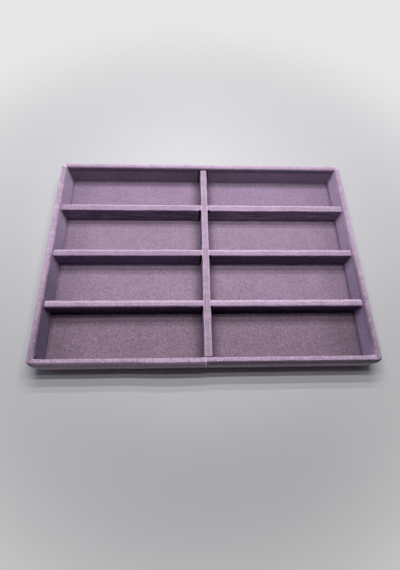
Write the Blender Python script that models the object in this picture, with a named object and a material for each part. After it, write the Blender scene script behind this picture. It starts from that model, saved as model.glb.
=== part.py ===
"""A velvet-covered drawer tray with compartments for glasses, built as its separate pieces.

Metres, +Z up. The origin is the centre of the underside, +X runs along the long side and +Y to the back.
A mitred wooden frame is pinned to a thin base board. One velvet strip wraps the frame and meets itself
in a seam at the front, and velvet lies on the floor. The dividers are wooden strips in velvet sleeves.
They drop in as a grid: the long divider has slots from below, and laps over the cross dividers.
"""

import math

import bmesh
import bpy
from mathutils import Matrix

# The whole tray
TRAY_LENGTH = 0.350
TRAY_DEPTH = 0.247
TRAY_HEIGHT = 0.030
TRAY_CORNER_RADIUS = 0.006

# Stock thicknesses
WALL_THICKNESS = 0.005
DIVIDER_THICKNESS = 0.006
BASE_BOARD_THICKNESS = 0.0025
VELVET_THICKNESS = 0.0009
UNDERSIDE_SHEET_THICKNESS = 0.0005

# Space between pieces
GLUE_GAP = 0.0003
MITRE_GAP = 0.0003
SEAM_GAP = 0.0003
SEAT_GAP = 0.0003
LAP_CLEARANCE = 0.0003
DIVIDER_END_GAP = 0.0008

# Edges and places
RIM_OUTER_EDGE_RADIUS = 0.0030
RIM_INNER_EDGE_RADIUS = 0.0020
DIVIDER_EDGE_RADIUS = 0.0018
DIVIDER_CORNER_RADIUS = 0.0016
FOLD_RADIUS = 0.0002
DIVIDER_DROP = 0.0028
UNDERSIDE_SHEET_INSET = 0.0015
SEAM_OFFSET = -0.002
CUT_OVERRUN = 0.002

# Rows of compartments from front to back, and where the two dividers' slots meet
ROWS = 4
LAP_HEIGHT_SHARE = 0.5
LARGEST_EDGE_SHARE = 0.45

# Brads that pin the frame's corners, and those that pin the base board to the frame
BRAD_RADIUS = 0.0006
BRAD_HEAD_RADIUS = 0.0010
BRAD_HEAD_HEIGHT = 0.0006
BRAD_POINT_LENGTH = 0.0015
BRAD_POINT_RADIUS_SHARE = 0.25
BRAD_CLEARANCE = 0.0003
CORNER_BRAD_LENGTH = 0.018
BASE_BRAD_LENGTH = 0.012
CORNER_BRAD_HEIGHT_SHARES = {"low": 0.28, "high": 0.72}
LONG_WALL_BRAD_SHARES = (-0.7, 0.0, 0.7)
SHORT_WALL_BRAD_SHARES = (0.0,)

# How finely curves are divided
CORNER_STEPS = 6
EDGE_STEPS = 4
BRAD_SIDES = 10

# Sizes that follow
COVER = VELVET_THICKNESS + GLUE_GAP
WALL_COVERED = WALL_THICKNESS + 2 * COVER
DIVIDER_COVERED = DIVIDER_THICKNESS + 2 * COVER
BASE_BOTTOM = UNDERSIDE_SHEET_THICKNESS + GLUE_GAP
BASE_TOP = BASE_BOTTOM + BASE_BOARD_THICKNESS
FLOOR_BOTTOM = BASE_TOP + GLUE_GAP
FLOOR_TOP = FLOOR_BOTTOM + VELVET_THICKNESS
INNER_LENGTH = TRAY_LENGTH - 2 * WALL_COVERED
INNER_DEPTH = TRAY_DEPTH - 2 * WALL_COVERED
DIVIDER_BOTTOM = FLOOR_TOP + SEAT_GAP
DIVIDER_TOP = TRAY_HEIGHT - DIVIDER_DROP
DIVIDER_HEIGHT = DIVIDER_TOP - DIVIDER_BOTTOM
LAP_HEIGHT = LAP_HEIGHT_SHARE * DIVIDER_HEIGHT
HALF_SLOT = DIVIDER_COVERED / 2 + LAP_CLEARANCE
CROSS_LENGTH = INNER_LENGTH - 2 * DIVIDER_END_GAP
LONG_LENGTH = INNER_DEPTH - 2 * DIVIDER_END_GAP
ROW_DEPTH = (INNER_DEPTH - (ROWS - 1) * DIVIDER_COVERED) / ROWS
ROW_PITCH = ROW_DEPTH + DIVIDER_COVERED
RIM_OUTER_EDGE = min(RIM_OUTER_EDGE_RADIUS, LARGEST_EDGE_SHARE * WALL_COVERED)
RIM_INNER_EDGE = min(RIM_INNER_EDGE_RADIUS, LARGEST_EDGE_SHARE * WALL_COVERED)
DIVIDER_EDGE = min(DIVIDER_EDGE_RADIUS, LARGEST_EDGE_SHARE * DIVIDER_COVERED)
DIVIDER_CORNER = min(DIVIDER_CORNER_RADIUS, LARGEST_EDGE_SHARE * DIVIDER_COVERED)

VELVET = {"colour": (0.34, 0.23, 0.36), "roughness": 0.95, "metallic": 0.0}
FIBREBOARD = {"colour": (0.42, 0.29, 0.17), "roughness": 0.85, "metallic": 0.0}
FELT = {"colour": (0.12, 0.10, 0.13), "roughness": 0.95, "metallic": 0.0}
STEEL = {"colour": (0.55, 0.55, 0.56), "roughness": 0.35, "metallic": 1.0}


def clear_scene():
    for old in list(bpy.data.objects):
        bpy.data.objects.remove(old)


def finish_material(name, finish):
    material = bpy.data.materials.new(name)
    material.use_nodes = True
    shader = material.node_tree.nodes["Principled BSDF"]
    shader.inputs["Base Color"].default_value = (*finish["colour"], 1.0)
    shader.inputs["Roughness"].default_value = finish["roughness"]
    shader.inputs["Metallic"].default_value = finish["metallic"]
    return material


def add_piece(name, solid, finish, parent=None):
    """One named sub-part from a bmesh, smooth but for its real edges."""
    bmesh.ops.recalc_face_normals(solid, faces=solid.faces)
    mesh = bpy.data.meshes.new(name)
    solid.to_mesh(mesh)
    solid.free()
    mesh.materials.append(finish_material(name, finish))
    mesh.shade_smooth()
    mesh.set_sharp_from_angle(angle=math.radians(40))
    piece = bpy.data.objects.new(name, mesh)
    bpy.context.scene.collection.objects.link(piece)
    piece.parent = parent
    return piece


def add_cutter(name, solid, parent=None):
    """A shape that only cuts others."""
    bmesh.ops.recalc_face_normals(solid, faces=solid.faces)
    mesh = bpy.data.meshes.new(name)
    solid.to_mesh(mesh)
    solid.free()
    cutter = bpy.data.objects.new(name, mesh)
    bpy.context.scene.collection.objects.link(cutter)
    cutter.parent = parent
    cutter.hide_render = True
    cutter.display_type = "WIRE"
    return cutter


def add_empty(name, place, parent=None):
    """The origin of a group of pieces that move together, at its place under its parent."""
    empty = bpy.data.objects.new(name, None)
    bpy.context.scene.collection.objects.link(empty)
    empty.location = place
    empty.parent = parent
    return empty


def cut(piece, cutter):
    modifier = piece.modifiers.new(cutter.name, "BOOLEAN")
    modifier.operation = "DIFFERENCE"
    modifier.solver = "EXACT"
    modifier.object = cutter


def arc(centre_u, centre_v, radius, start, end, steps):
    """Points along an arc, from one angle to another in degrees."""
    points = []
    for i in range(steps + 1):
        angle = math.radians(start + (end - start) * i / steps)
        points.append((centre_u + radius * math.cos(angle), centre_v + radius * math.sin(angle)))
    return points


def rounded_rectangle(half_length, half_depth, radius):
    """A plan outline, anticlockwise, with the same number of points at any size."""
    outline = []
    for side_x, side_y, start in ((1, 1, 0), (-1, 1, 90), (-1, -1, 180), (1, -1, 270)):
        centre_x = side_x * (half_length - radius)
        centre_y = side_y * (half_depth - radius)
        outline += arc(centre_x, centre_y, radius, start, start + 90, CORNER_STEPS)
    return outline


def circle(radius):
    turn = 2 * math.pi / BRAD_SIDES
    return [(radius * math.cos(i * turn), radius * math.sin(i * turn)) for i in range(BRAD_SIDES)]


def loft(levels, closed=False):
    """A solid whose skin runs through plan outlines in turn, each given with its height.

    The first and last outlines are capped, unless the skin closes on itself.
    """
    solid = bmesh.new()
    rings = [[solid.verts.new((x, y, z)) for x, y in outline] for outline, z in levels]
    pairs = list(zip(rings, rings[1:]))
    if closed:
        pairs.append((rings[-1], rings[0]))
    else:
        solid.faces.new(reversed(rings[0]))
        solid.faces.new(rings[-1])
    for ring, following in pairs:
        for i in range(len(ring)):
            j = (i + 1) % len(ring)
            solid.faces.new((ring[i], ring[j], following[j], following[i]))
    return solid


def add_box(solid, low, high):
    """One more box in the bmesh, between two corners."""
    size = [b - a for a, b in zip(low, high)]
    centre = [(a + b) / 2 for a, b in zip(low, high)]
    place = Matrix.Translation(centre) @ Matrix.Diagonal((*size, 1))
    bmesh.ops.create_cube(solid, size=1, matrix=place)


def inner_radius(radius, step):
    """The radius of a corner that lies inside another by a step."""
    return max(radius - step, FOLD_RADIUS)


def plate(half_length, half_depth, radius, bottom, top):
    outline = rounded_rectangle(half_length, half_depth, radius)
    return loft([(outline, bottom), (outline, top)])


def wall_outline(half_length, half_depth, inset):
    """The plan of the wall at +Y, mitred at both ends. Inset draws its two long edges in."""
    radius = inner_radius(TRAY_CORNER_RADIUS, COVER)
    arc_radius = max(radius - inset, 0)
    end_cut = MITRE_GAP * math.sqrt(2) / 2
    outer = half_depth - radius
    inner = half_depth - WALL_THICKNESS + inset
    right = arc(half_length - radius - end_cut, outer, arc_radius, 45, 90, CORNER_STEPS)
    inner_end = half_length - WALL_THICKNESS + inset - end_cut
    left = [(-x, y) for x, y in reversed(right)]
    return [(-inner_end, inner), (inner_end, inner), *right, *left]


def wall(name, along, across, turn):
    """One mitred wall of the frame, with its top edges rounded. Turn is where it stands, in degrees."""
    half_length = along / 2 - COVER
    half_depth = across / 2 - COVER
    bottom = BASE_TOP + GLUE_GAP
    top = TRAY_HEIGHT - COVER
    edge = inner_radius(max(RIM_OUTER_EDGE, RIM_INNER_EDGE), COVER)
    levels = [(wall_outline(half_length, half_depth, 0), bottom)]
    for inset, height in arc(edge, top - edge, edge, 180, 90, EDGE_STEPS):
        levels.append((wall_outline(half_length, half_depth, inset), height))
    solid = loft(levels)
    piece = add_piece(name, solid, FIBREBOARD)
    piece.rotation_euler.z = math.radians(turn)
    return piece


def frame_velvet():
    """The velvet strip over the frame: down the outside, over the rim and down to the floor inside."""
    outer_edge = RIM_OUTER_EDGE
    inner_edge = RIM_INNER_EDGE
    under_outer = inner_radius(outer_edge, VELVET_THICKNESS)
    under_inner = inner_radius(inner_edge, VELVET_THICKNESS)
    inner_face = WALL_COVERED
    inner_back = WALL_COVERED - VELVET_THICKNESS
    under_top = TRAY_HEIGHT - VELVET_THICKNESS
    section = [(0, BASE_BOTTOM)]
    section += arc(outer_edge, TRAY_HEIGHT - outer_edge, outer_edge, 180, 90, EDGE_STEPS)
    section += arc(inner_face - inner_edge, TRAY_HEIGHT - inner_edge, inner_edge, 90, 0, EDGE_STEPS)
    section += [(inner_face, FLOOR_BOTTOM), (inner_back, FLOOR_BOTTOM)]
    section += arc(inner_back - under_inner, under_top - under_inner, under_inner, 0, 90, EDGE_STEPS)
    section += arc(
        VELVET_THICKNESS + under_outer, under_top - under_outer, under_outer, 90, 180, EDGE_STEPS
    )
    section += [(VELVET_THICKNESS, BASE_BOTTOM)]
    levels = []
    for inset, height in section:
        outline = rounded_rectangle(
            TRAY_LENGTH / 2 - inset, TRAY_DEPTH / 2 - inset, inner_radius(TRAY_CORNER_RADIUS, inset)
        )
        levels.append((outline, height))
    velvet = add_piece("frame_velvet", loft(levels, closed=True), VELVET)
    slit = bmesh.new()
    front = -TRAY_DEPTH / 2
    add_box(
        slit,
        (SEAM_OFFSET - SEAM_GAP / 2, front - CUT_OVERRUN, -CUT_OVERRUN),
        (SEAM_OFFSET + SEAM_GAP / 2, front + WALL_COVERED + CUT_OVERRUN, TRAY_HEIGHT + CUT_OVERRUN),
    )
    cut(velvet, add_cutter("seam_slit", slit))


def base_layers():
    """The base board under the frame, the sheet glued beneath it and the velvet on the floor."""
    board_length = TRAY_LENGTH / 2 - COVER
    board_depth = TRAY_DEPTH / 2 - COVER
    board_radius = inner_radius(TRAY_CORNER_RADIUS, COVER)
    board = plate(board_length, board_depth, board_radius, BASE_BOTTOM, BASE_TOP)
    sheet = plate(
        TRAY_LENGTH / 2 - UNDERSIDE_SHEET_INSET,
        TRAY_DEPTH / 2 - UNDERSIDE_SHEET_INSET,
        inner_radius(TRAY_CORNER_RADIUS, UNDERSIDE_SHEET_INSET),
        0,
        UNDERSIDE_SHEET_THICKNESS,
    )
    floor = plate(
        INNER_LENGTH / 2 - GLUE_GAP,
        INNER_DEPTH / 2 - GLUE_GAP,
        FOLD_RADIUS,
        FLOOR_BOTTOM,
        FLOOR_TOP,
    )
    add_piece("underside_sheet", sheet, FELT)
    add_piece("floor_velvet", floor, VELVET)
    return add_piece("base_board", board, FIBREBOARD)


def divider_levels(length, inset, bottom, top):
    """Outlines of an upright strip with rounded ends and top edges, from the bottom to the top."""
    half_length = length / 2 - inset
    half_depth = DIVIDER_COVERED / 2 - inset
    corner = inner_radius(DIVIDER_CORNER, inset)
    edge = inner_radius(DIVIDER_EDGE, inset)
    levels = [(rounded_rectangle(half_length, half_depth, corner), bottom)]
    for step, height in arc(edge, top - inset - edge, edge, 180, 90, EDGE_STEPS):
        outline = rounded_rectangle(
            half_length - step, half_depth - step, inner_radius(corner, step)
        )
        levels.append((outline, height))
    return levels


def divider(name, length, origin, slots):
    """A divider along X: its wooden core and its velvet sleeve, which is open underneath.

    The origin is the empty at the middle of its bottom edge. Slots is the cutter of its laps.
    """
    core = loft(divider_levels(length, COVER, 0, DIVIDER_HEIGHT))
    inside = divider_levels(length, VELVET_THICKNESS, 0, DIVIDER_HEIGHT)
    outside = divider_levels(length, 0, 0, DIVIDER_HEIGHT)
    sleeve = loft([*reversed(inside), *outside])
    cut(add_piece(name + "_core", core, FIBREBOARD, origin), slots)
    cut(add_piece(name + "_velvet", sleeve, VELVET, origin), slots)


def cross_dividers(places):
    """A cross divider at each place along Y, numbered from the front, with a slot from above.

    Returns the empties that they stand on.
    """
    origins = []
    for number, y in enumerate(places, start=1):
        name = f"cross_divider_{number}"
        origin = add_empty(name + "_origin", (0, y, DIVIDER_BOTTOM))
        slot = bmesh.new()
        add_box(
            slot,
            (-HALF_SLOT, -DIVIDER_COVERED, LAP_HEIGHT - LAP_CLEARANCE / 2),
            (HALF_SLOT, DIVIDER_COVERED, DIVIDER_HEIGHT + CUT_OVERRUN),
        )
        divider(name, CROSS_LENGTH, origin, add_cutter(name + "_slot", slot, origin))
        origins.append(origin)
    return origins


def long_divider(places, carrier, carrier_place):
    """The long divider, with a slot from below at each place. It is carried by one cross divider."""
    origin = add_empty("long_divider_origin", (0, -carrier_place, 0), carrier)
    origin.rotation_euler.z = math.radians(90)
    slots = bmesh.new()
    for along in places:
        add_box(
            slots,
            (along - HALF_SLOT, -DIVIDER_COVERED, -CUT_OVERRUN),
            (along + HALF_SLOT, DIVIDER_COVERED, LAP_HEIGHT + LAP_CLEARANCE / 2),
        )
    divider("long_divider", LONG_LENGTH, origin, add_cutter("long_divider_slots", slots, origin))


def divider_grid():
    """The cross dividers, evenly spaced, and the long divider that laps over them."""
    count = ROWS - 1
    places = [(number - (count - 1) / 2) * ROW_PITCH for number in range(count)]
    origins = cross_dividers(places)
    middle = count // 2
    long_divider(places, origins[middle], places[middle])


def brad(length, clearance=0, lead=0):
    """A brad that points along +Z, with its head's face at the origin.

    Clearance makes it the shape of its hole, which starts by the lead above the head.
    """
    head = BRAD_HEAD_RADIUS + clearance
    shank = BRAD_RADIUS + clearance
    point = BRAD_RADIUS * BRAD_POINT_RADIUS_SHARE + clearance
    neck = BRAD_HEAD_HEIGHT + clearance
    return loft(
        [
            (circle(head), -lead),
            (circle(head), neck),
            (circle(shank), neck),
            (circle(shank), length - BRAD_POINT_LENGTH),
            (circle(point), length + clearance),
        ]
    )


def corner_brad_sink():
    """How deep a corner brad's head lies, so that it stays inside the frame's rounded corner."""
    radius = inner_radius(TRAY_CORNER_RADIUS, COVER)
    reach = max(radius - WALL_THICKNESS / 2 + BRAD_HEAD_RADIUS, 0)
    return radius - math.sqrt(max(radius**2 - reach**2, 0))


def corner_brad_places():
    """Two brads at each corner, through the short walls into the ends of the long ones."""
    face = TRAY_LENGTH / 2 - COVER - corner_brad_sink()
    middle = TRAY_DEPTH / 2 - COVER - WALL_THICKNESS / 2
    bottom = BASE_TOP + GLUE_GAP
    wall_height = TRAY_HEIGHT - COVER - bottom
    for end, side_y in (("front", -1), ("back", 1)):
        for side, side_x in (("left", -1), ("right", 1)):
            for level, share in CORNER_BRAD_HEIGHT_SHARES.items():
                place = Matrix.Translation(
                    (side_x * face, side_y * middle, bottom + share * wall_height)
                )
                turn = Matrix.Rotation(math.radians(-90 * side_x), 4, "Y")
                yield f"corner_brad_{end}_{side}_{level}", place @ turn, CORNER_BRAD_LENGTH


def base_brad_places():
    """Brads up through the base board into the middle of each wall's thickness."""
    half_length = TRAY_LENGTH / 2 - COVER - WALL_THICKNESS / 2
    half_depth = TRAY_DEPTH / 2 - COVER - WALL_THICKNESS / 2
    for end, side_y in (("front", -1), ("back", 1)):
        for number, share in enumerate(LONG_WALL_BRAD_SHARES, start=1):
            place = (share * half_length, side_y * half_depth, BASE_BOTTOM)
            yield f"base_brad_{end}_{number}", Matrix.Translation(place), BASE_BRAD_LENGTH
    for side, side_x in (("left", -1), ("right", 1)):
        for number, share in enumerate(SHORT_WALL_BRAD_SHARES, start=1):
            place = (side_x * half_length, share * half_depth, BASE_BOTTOM)
            yield f"base_brad_{side}_{number}", Matrix.Translation(place), BASE_BRAD_LENGTH


def brads(wooden_pieces):
    """Every brad, and its hole in the wooden pieces that it holds together."""
    holes = bmesh.new()
    for name, place, length in [*corner_brad_places(), *base_brad_places()]:
        piece = add_piece(name, brad(length), STEEL)
        piece.matrix_world = place
        hole = brad(length, BRAD_CLEARANCE, corner_brad_sink() + CUT_OVERRUN)
        hole.transform(place)
        mesh = bpy.data.meshes.new("hole")
        hole.to_mesh(mesh)
        hole.free()
        holes.from_mesh(mesh)
        bpy.data.meshes.remove(mesh)
    cutter = add_cutter("brad_holes", holes)
    for piece in wooden_pieces:
        cut(piece, cutter)


def main():
    clear_scene()
    wooden_pieces = [
        base_layers(),
        wall("back_wall", TRAY_LENGTH, TRAY_DEPTH, 0),
        wall("left_wall", TRAY_DEPTH, TRAY_LENGTH, 90),
        wall("front_wall", TRAY_LENGTH, TRAY_DEPTH, 180),
        wall("right_wall", TRAY_DEPTH, TRAY_LENGTH, 270),
    ]
    frame_velvet()
    divider_grid()
    brads(wooden_pieces)


main()
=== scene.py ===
"""The looks of the velvet tray: its fabric pieces, finishes, light and camera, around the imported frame.

Metres, in the frame's own axes: +X along the cross dividers, +Y to the back, +Z up.
"""

import math
from collections import namedtuple

import bmesh
import bpy
import numpy as np
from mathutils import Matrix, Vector, noise


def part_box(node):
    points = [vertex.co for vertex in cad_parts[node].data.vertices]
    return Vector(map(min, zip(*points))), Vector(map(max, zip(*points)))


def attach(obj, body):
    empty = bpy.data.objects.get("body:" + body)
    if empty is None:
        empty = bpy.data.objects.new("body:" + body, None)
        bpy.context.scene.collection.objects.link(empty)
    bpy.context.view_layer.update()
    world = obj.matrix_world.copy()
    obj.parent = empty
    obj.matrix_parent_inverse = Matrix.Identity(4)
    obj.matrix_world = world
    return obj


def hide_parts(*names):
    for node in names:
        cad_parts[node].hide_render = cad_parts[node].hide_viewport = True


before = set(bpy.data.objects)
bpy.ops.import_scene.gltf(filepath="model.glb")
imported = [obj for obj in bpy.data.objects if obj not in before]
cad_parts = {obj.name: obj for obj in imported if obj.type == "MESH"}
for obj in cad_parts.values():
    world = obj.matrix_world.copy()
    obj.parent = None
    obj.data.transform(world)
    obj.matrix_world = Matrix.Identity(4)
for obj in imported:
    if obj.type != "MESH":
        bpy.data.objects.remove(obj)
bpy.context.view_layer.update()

# Fabric, and how finely it is modelled
VELVET_THICKNESS = 0.0009
POINT_MERGE = 0.000001
COVER_STEP = 0.0015
FINE_STEP = 0.0004
CORNER_STEPS = 12
EDGE_STEPS = 6
BASE_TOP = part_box("base_board")[1].z

# Waves in the cloth: their height, and their size along X, Y and Z
SWELL_HEIGHT = 0.00015
SWELL_SIZE = (0.045, 0.045, 0.045)
UNDULATION_HEIGHT = 0.00026
UNDULATION_SIZE = (0.012, 0.012, 0.012)
WRINKLE_HEIGHT = 0.00022
WRINKLE_SIZE = (0.03, 0.03, 0.0024)
WRINKLE_SHARPNESS = 2.2
RIM_WAVE_SIZE = (0.006, 0.006, 0.02)
TOP_WAVE_SIZE = (0.007, 0.02, 0.02)
COVER_WAVE_HEIGHT = 0.000182
COVER_SEEDS = (3.1, 11.7, 23.9)

# The frame's cover
TRAY_CORNER_RADIUS = 0.006
WALL_COVERED = 0.0074
RIM_OUTER_EDGE = 0.003
RIM_INNER_EDGE = 0.002
INNER_CORNER_RADIUS = 0.0012
HEM_BOTTOM = 0.00015
HEM_EDGE = 0.0007
HEM_REACH = 0.0012
HEM_THICKNESS = 0.0006

# The seam at the middle of the front: the left end of the strip laps over the right end
SEAM_X = -0.0016
SEAM_LEAN = 0.0015
SEAM_SPREAD = 0.012
LAP_OVER = 0.0026
LAP_SINK = 0.0005
LAP_RAMP = 0.0016
LAP_GAP = 0.00006
RIDGE_HEIGHT = 0.0006
RIDGE_WIDTH = 0.0007
TAB_REACH = 0.0006
TAB_HEIGHT = 0.0045

# Where the cover is drawn in at its shoulders, and where it is loose, left of the seam
SHOULDER_DRAW = 0.00045
SHOULDER_WIDTH = 0.0012
INNER_DRAW = 0.00065
DRAW_HEIGHTS = (0.019, 0.0265)
LEFT_DRAW_SHARE = 0.45
LOOSE_SHOULDER = 0.0011
LOOSE_WIDTH = 0.0022
LOOSE_DROP = 0.012
LOOSE_LENGTH = 0.075
LOOSE_FULL_SHARE = 0.55

# Folds where the cover turns a corner. Across and upright give the middle and the width of one.
MITRE_DEPTH = 0.00045
MITRE_WIDTH = 0.0008
MITRE_START_SHARE = 0.6
FOLD_HEIGHT = 0.0005
FOLD_ACROSS = (0.0042, 0.0016)
FOLD_UPRIGHT = (0.022, 0.004)
GUSSET_DEPTH = 0.0007
GUSSET_WIDTH = 0.006
GUSSET_HEIGHTS = (0.014, 0.024)

# Floor velvet and the sheet underneath
SHEET_STEP = 0.002
SHEET_EDGE = 0.0005
SHEET_CORNER = 0.0015
SHEET_EDGE_DEG = (0, 22.5, 45, 67.5)
UNDERSIDE_CORNER = 0.0045
FLOOR_REACH = 0.00027
FLOOR_WAVES = 0.00015
UNDERSIDE_WAVES = 0.00004
FINE_WAVE_SHARE = 0.6
WAVE_LIMIT = 0.8
PRESS_WIDTH = 0.005
PRESS_SHARE = 0.6

# Dividers. Their front side's normals lie under one value along Y, and the rear side's over two.
FRONT_NORMAL = -0.5
REAR_NORMALS = (0.2, 0.8)
DIVIDER_EDGE = 0.0018
DIVIDER_CORNER = 0.0016
DIVIDER_STEP = 0.0016
END_POINTS = 22
END_ROUND_SHARE = 0.5
END_REACH = 0.0006
FRONT_END_REACH = 0.0005
LAP_CLEARANCE = 0.0003
SLOT_EASE = 0.00005
TUCK_DEPTH = 0.00075
TUCK_WIDTH = 0.0014
TUCK_SLOPE = 0.0004
BACK_SHIFT = 0.0002
PINCH_DEPTH = 0.00045
PINCH_LENGTH = 0.005
PINCH_FADE = 0.005
SHOULDER_FILL = 0.0005
LONG_SHIFT = 0.0005
LONG_FULLNESS = 0.0005
LONG_SEED = 74.0
LONG_WRINKLES = 0.2
LONG_EDGE_RADII = ((-1, 0.0024), (1, 0.0023))

# Each cross divider's seed, depth of creases, shift of its sleeve along Y and radius of its rear top edge
CROSS_SLEEVES = {
    1: (41.0, 0.5, -0.0001, 0.0034),
    2: (52.0, 0.5, -0.0005, 0.0029),
    3: (63.0, 1.7, -0.0005, 0.0026),
}

# The photographed view: its frame in pixels, the focal length in pixels, and the camera's place and turn
PHOTO_HEIGHT_PX = 570
FOCAL_PX = 314.4
SENSOR_MM = 36
CLIP_START = 0.01
CAMERA_PLACE = (-0.0198, -0.1659, 0.3401)
CAMERA_TURN_DEG = (21.94, -2.07, -0.97)

# Velvet colours, linear, of the front, middle and rear, and the places along Y where they change
# The floor's darker front colour is painted shade
FLOOR_COLOURS = ((0.288, 0.202, 0.27), (0.352, 0.252, 0.348), (0.335, 0.24, 0.35))
COVER_COLOURS = ((0.305, 0.224, 0.307), (0.292, 0.214, 0.294), (0.275, 0.203, 0.276))
FRONT_COLOUR_SPAN = (-0.085, -0.035)
REAR_COLOUR_SPAN = (0.03, 0.09)
FELT_COLOUR = (0.12, 0.1, 0.13)
# The board's dark brown is partly painted shade, for where it shows in narrow gaps
BOARD_COLOUR = (0.17, 0.125, 0.1)
STEEL_COLOUR = (0.55, 0.55, 0.56)
WHITE = (1.0, 1.0, 1.0)

# Shader settings that are the same all over a surface
VELVET_SHADER = {
    "Roughness": 1.0,
    "Specular IOR Level": 0.0,
    "Sheen Weight": 0.18,
    "Sheen Roughness": 0.5,
    "Sheen Tint": (0.97, 0.92, 0.98),
}
FELT_SHADER = {"Roughness": 1.0, "Specular IOR Level": 0.1, "Sheen Weight": 0.1}
BOARD_SHADER = {"Roughness": 0.85}
STEEL_SHADER = {"Roughness": 0.35, "Metallic": 1.0}
STAGE_SHADER = {"Roughness": 0.9, "Specular IOR Level": 0.1}

# Noise in the velvet: size, detail, step of seed, stretch, how much it lightens and darkens, and whether
# smoothly. First the specks, then blotches, patches and brushed streaks.
NOISE_SPAN = (0.3, 0.7)
EVEN = (1, 1, 1)
VELVET_NOISES = (
    (0.0021, 1.5, 0, EVEN, 0.13, False),
    (0.006, 1.5, 2, EVEN, 0.052, False),
    (0.03, 1.0, 3, EVEN, 0.03, True),
    (0.0016, 1.0, 5, (1, 14, 6), 0.025, True),
)
FINE_SPECKS = (0.0018, 1.0)
FINE_SPECK_DEPTH = 0.17
GRAIN = (0.00035, 2.0)
GRAIN_DEPTH = 0.12
GRAIN_RELIEF = (0.00025, 0.5)
# Painted shade and light in creases on the dividers' front faces: noise size, detail, seed and stretch, then
# its shades, then how much of it there is at the front and at the rear
CREASES = (0.0024, 2.0, 61.0, (12, 1, 1))
CREASE_SHADES = (0.52, 1.52)
CREASED_SHARES = (0.45, 1)

# Noise in the other finishes: size, detail, seed and stretch; and relief: depth in metres and strength
FELT_NOISES = ((0.006, 4.0, 2.0), (0.0006, 5.0, 6.0, (3, 0.6, 1)), (0.0006, 5.0, 8.0, (0.6, 3, 1)))
FELT_DEPTHS = (0.15, 0.25, 0.2)
FELT_RELIEF = (0.0002, 0.6)
BOARD_FLECKS = (0.0007, 4.0, 1.0, (2.5, 2.5, 0.7))
BOARD_FLECK_SPAN = (0.25, 0.75)
BOARD_FLECK_SHADES = (0.78, 1.22)
BOARD_CLOUDS = (0.012, 3.0, 4.0)
BOARD_CLOUD_DEPTH = 0.08
BOARD_RELIEF = (0.0001, 0.5)
STEEL_SCRATCHES = (0.0002, 2.0, 3.0, (1, 1, 12))
STEEL_TARNISH = (0.003, 3.0, 5.0)
STEEL_ROUGHNESS = (0.25, 0.5)
STEEL_SHADES = (0.8, 1.05)
STEEL_RELIEF = (0.00002, 0.4)
STAGE_CLOUDS = (0.25, 2.0, 1.0)
STAGE_CLOUD_DEPTH = 0.02

# Painted light and shade by the way a face is turned: to the front, half turned and fully turned, then to
# the right and to the left; each at the front and at the rear
TURN_SHADE_SPAN = (-0.1, 0.1)
HALF_TURNED_SHARE = 0.45
SIDE_TURN_SHADE_SPANS = ((0.25, 0.85), (-0.25, -0.85))
SIDE_TURN_SHADE_TOP = (0.0255, 0.0285)
DARK_SIDE_SHADE = (0.22, 0.21, 0.23)
COVER_TURN_SHADES = (
    (((0.42, 0.4, 0.44), (1.4, 1.5, 1.4)), ((0.85, 0.84, 0.87), (0.87, 0.88, 0.91))),
    (((0.48, 0.48, 0.67), (1.9, 1.98, 2.03)), ((1.18, 1.2, 1.38), (1.94, 2.01, 2.07))),
)
DIVIDER_TURN_SHADES = (
    (((0.62, 0.6, 0.64), (0.25, 0.19, 0.41)), ((1.00, 0.98, 1.02), (0.66, 0.73, 0.75))),
    ((DARK_SIDE_SHADE, DARK_SIDE_SHADE), (DARK_SIDE_SHADE, DARK_SIDE_SHADE)),
)
FLOOR_TURN_SHADES = (((WHITE, WHITE), (WHITE, WHITE)), ((WHITE, WHITE), (WHITE, WHITE)))

# Heights over which velvet turns over an edge, and how much lighter it is there, as a painted highlight
COVER_CROWN = ((0.0262, 0.0295), 1.42)
DIVIDER_CROWN = ((0.0245, 0.0268), 1.4)
FLOOR_CROWN = ((0.02, 0.03), 1)

# Marks of painted light and shade on all velvet. A span is where a mark comes or goes, and a band
# its middle and reach: places in metres, or for facing, shares of fully turned. Shades and lifts are
# factors of the colour.
NEAR_SPAN = (-0.09, 0.09)
ROW_REAR = 0.1161
ROW_PITCH = 0.06015
HALVES_SPAN = (-0.03, 0.03)
HALF_SHADES = (0.88, 1.13)
CREVICE_SPAN = (0.0055, 0.01)
CREVICE_SHADE = 0.6
BESIDE_BAND = (0.005, 0.002)
FOLD_FACING = (0.75, 0.99)
FOLD_LIFT = 1.12
REAR_EDGE_START = (-0.105, -0.095)
REAR_EDGE_TILT = (0.05, 0.35)
REAR_EDGE_FACING = (0.0, 0.24)
REAR_EDGE_SPAN = (-0.06, 0.0)
REAR_EDGE_LIFTS = (1.46, 1.7)
REAR_FALL_FACING = (0.3, 0.7)
REAR_EDGE_FALL = 0.76
BACK_EDGE_SPAN = (0.119, 0.122)
BACK_EDGE_SHARE = 0.25

# Painted light and shade on the frame's cover
RIM_SPAN = (0.024, 0.027)
SIDE_TOP_SPAN = (0.1675, 0.1685)
SIDE_RIM_SPAN = (-0.13, -0.03)
SIDE_RIM_SHADES = (0.7, 1.13)
SIDE_EDGE_BAND = (0.1727, 0.0016)
SIDE_EDGE_END = (0.113, 0.118)
SIDE_EDGE_LIFT = 1.3
INNER_EDGE_BAND = (0.1682, 0.0016)
INNER_EDGE_END = (-0.035, 0.015)
INNER_EDGE_START = (-0.113, -0.104)
INNER_EDGE_SHADE = 0.7
INNER_HALF_LENGTH = 0.1676
INNER_HALF_DEPTH = 0.1161
CORNER_SPAN = (0.002, 0.007)
CORNER_INSIDE = (-0.003, 0)
CORNER_HEIGHTS = (0.015, 0.021)
CORNERS_APART = (-0.1, 0.1)
CORNER_LIFTS = (1.2, 1.25)
INSIDE_SPAN = (0.166, 0.1672)
SIDE_FACING = (0.5, 0.9)
LEFT_FACING = (-0.5, -0.9)
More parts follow.
